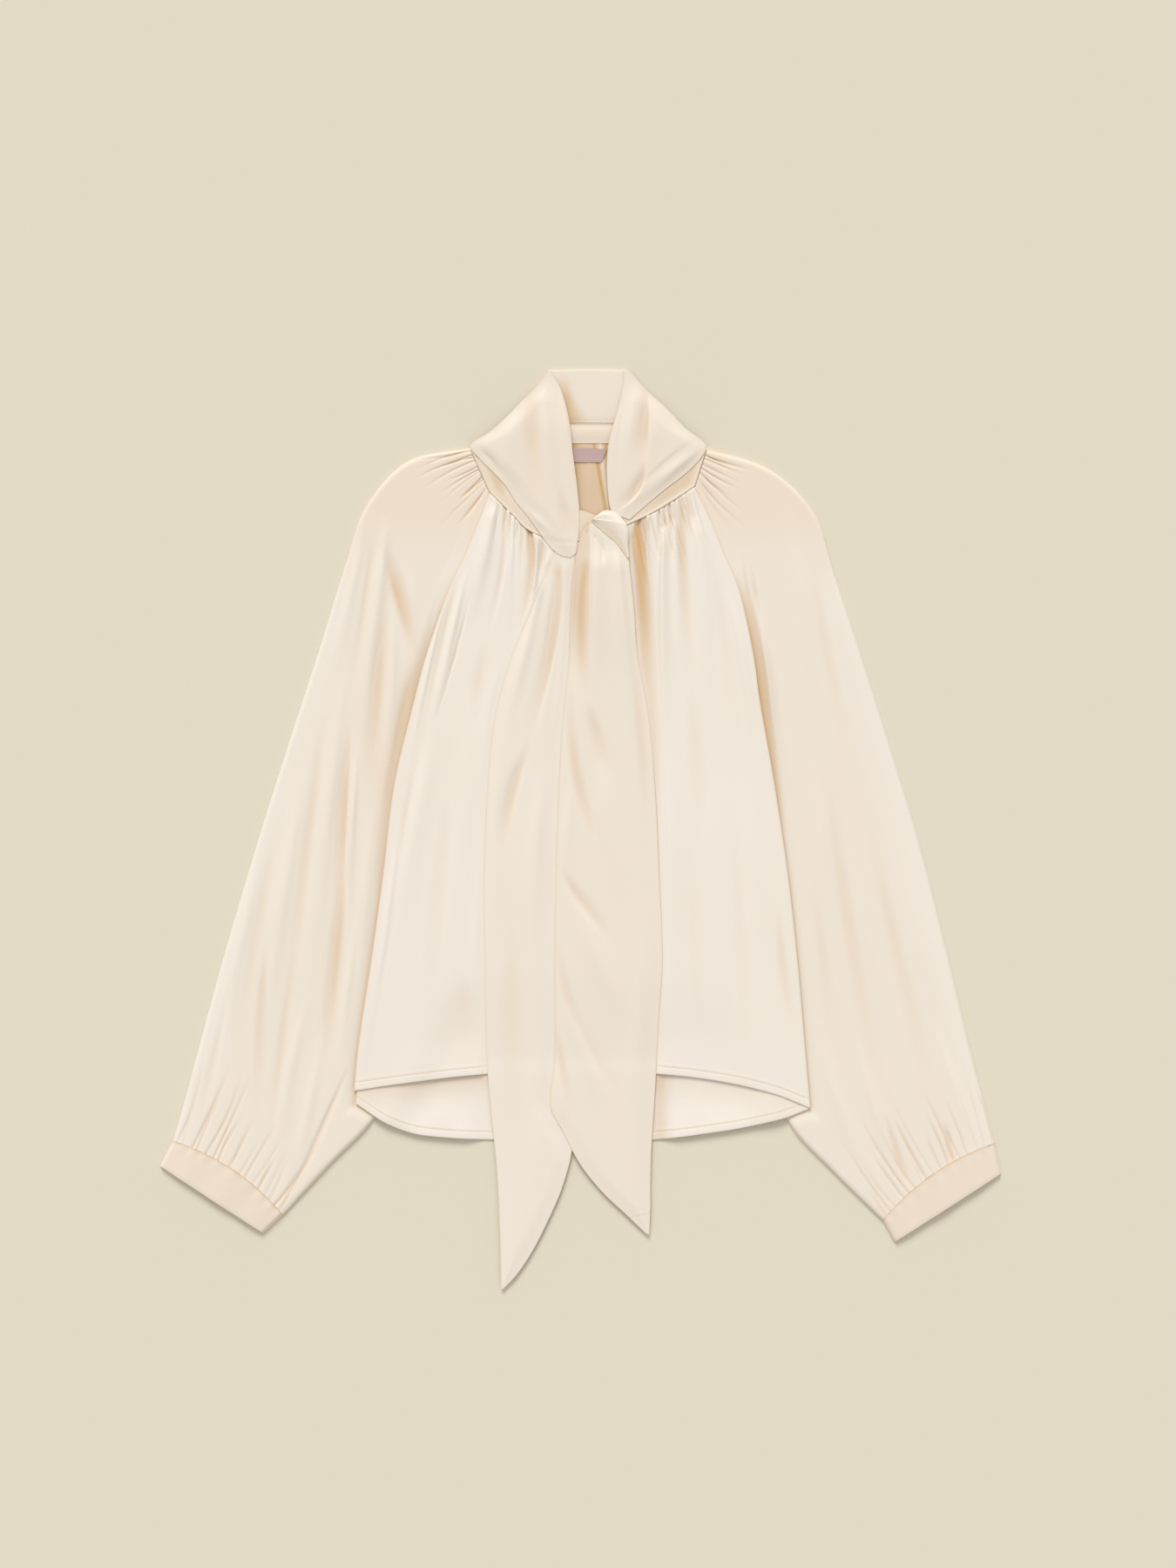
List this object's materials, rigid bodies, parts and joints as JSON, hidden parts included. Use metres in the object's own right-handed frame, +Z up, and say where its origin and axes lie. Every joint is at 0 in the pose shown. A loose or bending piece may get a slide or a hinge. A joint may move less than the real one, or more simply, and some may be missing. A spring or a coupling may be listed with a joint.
{
  "type": "tie neck blouse",
  "caption": "Long-sleeved blouse with raglan sleeves, gathered neck, soft tie collar knotted at the front and long hanging ends, laid flat.",
  "frame": {"origin": "centre of the bounding box in plan, on the floor that the blouse lies on", "axes": "+Z up from the floor, +Y towards the neck, +X to the right seen from above with the neck on top"},
  "size_m": [0.772, 0.844, 0.0148],
  "materials": {
    "back": "matte",
    "front": "matte",
    "sleeve_left": "matte",
    "sleeve_right": "matte",
    "cuff_left": "matte",
    "cuff_right": "matte",
    "neckband_front": "matte",
    "neckband_back": "matte",
    "tie_back": "matte",
    "tie_left_wing": "matte",
    "tie_right_wing": "matte",
    "tie_knot": "matte",
    "tie_left_end": "matte",
    "tie_right_end": "matte",
    "label": "woven"
  },
  "bodies": {
    "root": {"back": "back", "front": "front", "sleeve_left": "sleeve_left", "sleeve_right": "sleeve_right", "cuff_left": "cuff_left", "cuff_right": "cuff_right", "neckband_front": "neckband_front", "neckband_back": "neckband_back", "tie_back": "tie_back", "tie_left_wing": "tie_left_wing", "tie_right_wing": "tie_right_wing", "tie_knot": "tie_knot", "tie_left_end": "tie_left_end", "tie_right_end": "tie_right_end", "label": "label"}
  },
  "joints": []
}
